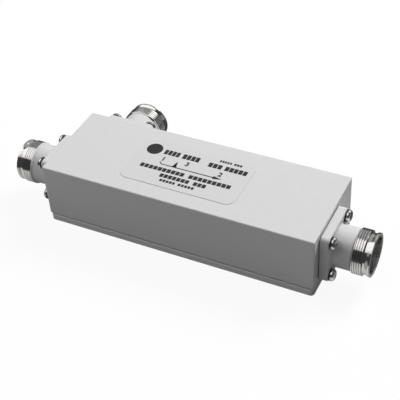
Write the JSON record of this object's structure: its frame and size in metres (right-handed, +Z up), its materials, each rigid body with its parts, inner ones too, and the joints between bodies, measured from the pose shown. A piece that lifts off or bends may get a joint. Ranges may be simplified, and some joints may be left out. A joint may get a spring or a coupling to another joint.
{
  "type": "directional coupler",
  "caption": "Slim rectangular directional coupler: painted housing with a screwed base cover, coaxial threaded ports at both ends and a coupled port on one long side.",
  "frame": {"origin": "centre of the base cover's underside", "axes": "+X along the through line towards the output port, +Y towards the side with the coupled port, +Z up to the labelled face"},
  "size_m": [0.1732, 0.0664, 0.031],
  "materials": {
    "light_grey_paint": "matte",
    "plated_brass": "polished",
    "silver_plated_contact": "satin",
    "white_fluoropolymer": "matte",
    "stainless_screw": "polished",
    "dark_gasket": "matte",
    "copper_flange": "satin",
    "white_ceramic": "matte",
    "label_film": "satin"
  },
  "bodies": {
    "root": {"housing": "light_grey_paint", "bottom_cover": "light_grey_paint", "input_connector_body": "light_grey_paint", "output_connector_body": "light_grey_paint", "coupled_connector_body": "light_grey_paint", "input_thread_sleeve": "plated_brass", "output_thread_sleeve": "plated_brass", "coupled_thread_sleeve": "plated_brass", "input_contact": "silver_plated_contact", "output_contact": "silver_plated_contact", "coupled_contact": "silver_plated_contact", "main_line": "silver_plated_contact", "coupled_line": "silver_plated_contact", "load_tab": "silver_plated_contact", "input_insulator": "white_fluoropolymer", "output_insulator": "white_fluoropolymer", "coupled_insulator": "white_fluoropolymer", "main_line_supports": "white_fluoropolymer", "coupled_line_supports": "white_fluoropolymer", "flange_screws": "stainless_screw", "cover_screws": "stainless_screw", "load_screws": "stainless_screw", "input_flange_gasket": "dark_gasket", "output_flange_gasket": "dark_gasket", "coupled_flange_gasket": "dark_gasket", "cover_gasket": "dark_gasket", "load_base": "copper_flange", "load_chip": "white_ceramic", "label": "label_film"}
  },
  "joints": []
}
